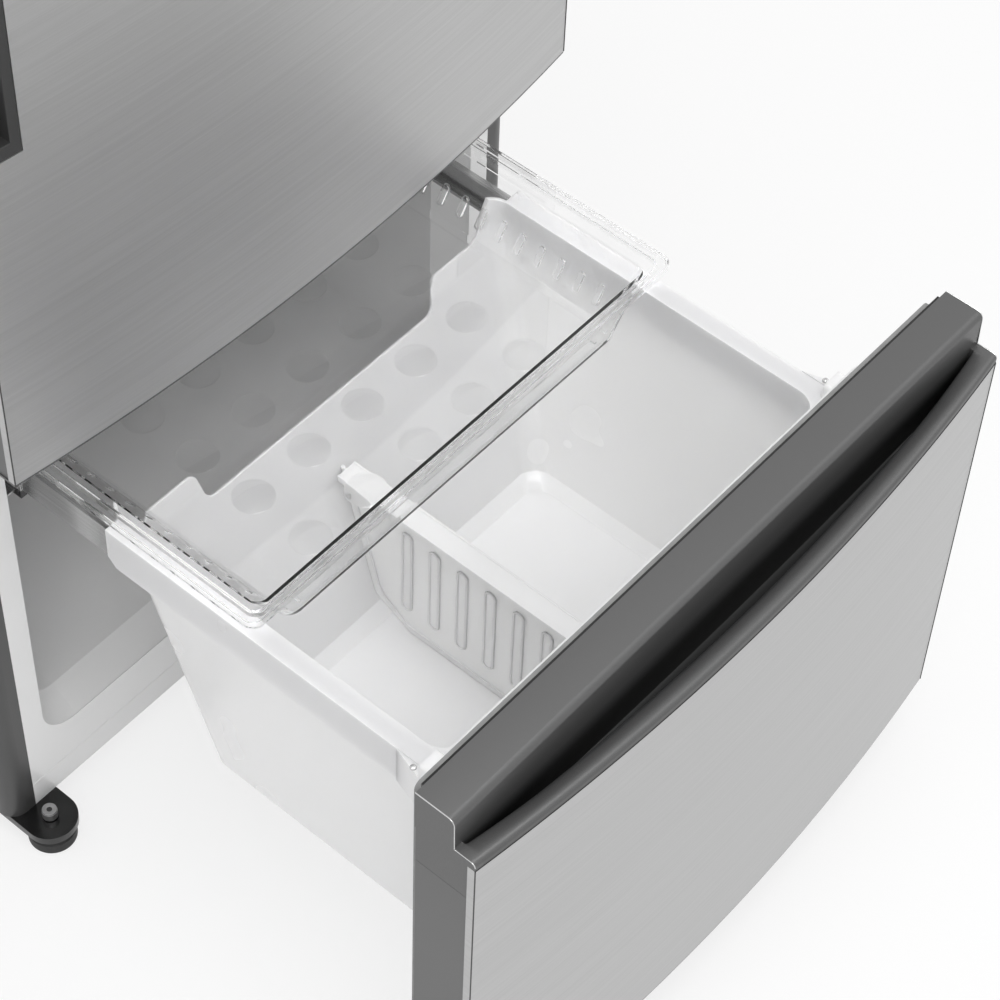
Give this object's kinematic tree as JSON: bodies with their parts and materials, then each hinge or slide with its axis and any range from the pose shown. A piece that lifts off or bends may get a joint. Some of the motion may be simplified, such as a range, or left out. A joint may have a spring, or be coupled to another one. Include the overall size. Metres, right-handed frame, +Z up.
{
  "type": "bottom freezer refrigerator",
  "caption": "Bottom freezer refrigerator with a bowed stainless door above a full-width pull-out freezer drawer, shown open on its slides with basket, divider and clear tray.",
  "frame": {"origin": "Middle of the bounding box at floor level; the cabinet's plane of symmetry is X = 0.", "axes": "+X towards the door's hinge side, +Y towards the back, +Z up."},
  "size_m": [0.756, 1.3149, 1.689],
  "materials": {
    "body_steel": "satin",
    "edge_steel": "satin",
    "frame_steel": "satin",
    "galvanised_steel": "satin",
    "hardware_steel": "satin",
    "stainless_skin": "satin",
    "liner_plastic": "satin",
    "white_plastic": "satin",
    "clear_plastic": "gloss",
    "pane_glass": "gloss",
    "grey_plastic": "satin",
    "dark_plastic": "satin",
    "black_plastic": "gloss",
    "gasket_rubber": "matte",
    "foam": "matte",
    "machine_black": "satin",
    "coil_metal": "satin",
    "mount_rubber": "matte"
  },
  "bodies": {
    "cabinet": {"side_panel_left": "body_steel", "side_panel_right": "body_steel", "top_panel": "body_steel", "back_panel": "galvanised_steel", "front_frame": "frame_steel", "insulation": "foam", "fridge_liner": "liner_plastic", "freezer_liner": "liner_plastic", "base_pan": "galvanised_steel", "base_plate": "galvanised_steel", "foot_brackets": "machine_black", "compressor": "machine_black", "compressor_mounts": "mount_rubber", "condenser": "machine_black", "condenser_fan_mount": "dark_plastic", "drain_pan": "dark_plastic", "machine_cover": "galvanised_steel", "cord_gland": "mount_rubber", "evaporator": "coil_metal", "evaporator_cover": "white_plastic", "evaporator_fan_motor": "dark_plastic", "top_hinge": "hardware_steel", "top_hinge_cover": "dark_plastic", "middle_hinge": "hardware_steel", "slide_outer": "hardware_steel", "tray_rails": "liner_plastic", "control_housing": "white_plastic", "lamp_lens": "clear_plastic", "shelf_frames": "white_plastic", "shelf_panes": "pane_glass", "crisper_cover": "white_plastic", "crispers": "clear_plastic"},
    "fridge_door": {"door_skin": "stainless_skin", "door_core": "edge_steel", "door_liner": "liner_plastic", "door_gasket": "gasket_rubber", "door_top_cap": "grey_plastic", "door_bottom_cap": "grey_plastic", "door_handle_insert": "dark_plastic", "door_bins": "clear_plastic"},
    "freezer_drawer": {"drawer_skin": "stainless_skin", "drawer_core": "edge_steel", "drawer_cap": "grey_plastic", "drawer_bottom_cap": "grey_plastic", "drawer_liner": "liner_plastic", "drawer_gasket": "gasket_rubber", "basket": "white_plastic", "basket_brackets": "white_plastic", "slide_inner": "hardware_steel"},
    "slide_members": {"slide_middle": "hardware_steel"},
    "divider": {"basket_divider": "clear_plastic"},
    "tray": {"freezer_tray": "clear_plastic"},
    "left_foot": {"foot_left": "dark_plastic"},
    "right_foot": {"foot_right": "dark_plastic"},
    "left_roller": {"roller_left": "dark_plastic"},
    "right_roller": {"roller_right": "dark_plastic"},
    "machine_fan": {"condenser_fan": "dark_plastic"},
    "freezer_fan": {"evaporator_fan": "dark_plastic"},
    "thermostat_knob": {"temperature_knob": "white_plastic"}
  },
  "joints": [
    {"name": "door_hinge", "type": "hinge", "parent": "cabinet", "child": "fridge_door", "pos_m": [0.356, -0.0605, 1.15], "axis": [0, 0, 1], "range_deg": [0, 130]},
    {"name": "drawer_slide", "type": "slide", "parent": "cabinet", "child": "freezer_drawer", "axis": [0, 1, 0], "range_m": [0, 0.524]},
    {"name": "slide_extension", "type": "slide", "parent": "cabinet", "child": "slide_members", "axis": [0, 1, 0], "range_m": [0, 0.262]},
    {"name": "tray_slide", "type": "slide", "parent": "cabinet", "child": "tray", "axis": [0, 1, 0], "range_m": [0, 0.3144]},
    {"name": "divider_slide", "type": "slide", "parent": "freezer_drawer", "child": "divider", "axis": [1, 0, 0], "range_m": [-0.18, 0.18]},
    {"name": "left_foot_turn", "type": "hinge", "parent": "cabinet", "child": "left_foot", "pos_m": [-0.346, -0.0535, 0.01], "axis": [0, 0, 1], "continuous": true},
    {"name": "right_foot_turn", "type": "hinge", "parent": "cabinet", "child": "right_foot", "pos_m": [0.346, -0.0535, 0.01], "axis": [0, 0, 1], "continuous": true},
    {"name": "left_roller_turn", "type": "hinge", "parent": "cabinet", "child": "left_roller", "pos_m": [-0.3, 0.5825, 0.015], "axis": [1, 0, 0], "continuous": true},
    {"name": "right_roller_turn", "type": "hinge", "parent": "cabinet", "child": "right_roller", "pos_m": [0.3, 0.5825, 0.015], "axis": [1, 0, 0], "continuous": true},
    {"name": "machine_fan_turn", "type": "hinge", "parent": "cabinet", "child": "machine_fan", "pos_m": [0.02, 0.5455, 0.118], "axis": [1, 0, 0], "continuous": true},
    {"name": "freezer_fan_turn", "type": "hinge", "parent": "cabinet", "child": "freezer_fan", "pos_m": [0, 0.5328, 0.538], "axis": [0, 1, 0], "continuous": true},
    {"name": "knob_turn", "type": "hinge", "parent": "cabinet", "child": "thermostat_knob", "pos_m": [-0.08, 0.1055, 1.595], "axis": [0, 1, 0], "range_deg": [0, 270]}
  ],
  "couplings": [
    {"joint": "slide_extension", "follows": "drawer_slide", "ratio": 0.5},
    {"joint": "tray_slide", "follows": "drawer_slide", "ratio": 0.6}
  ]
}
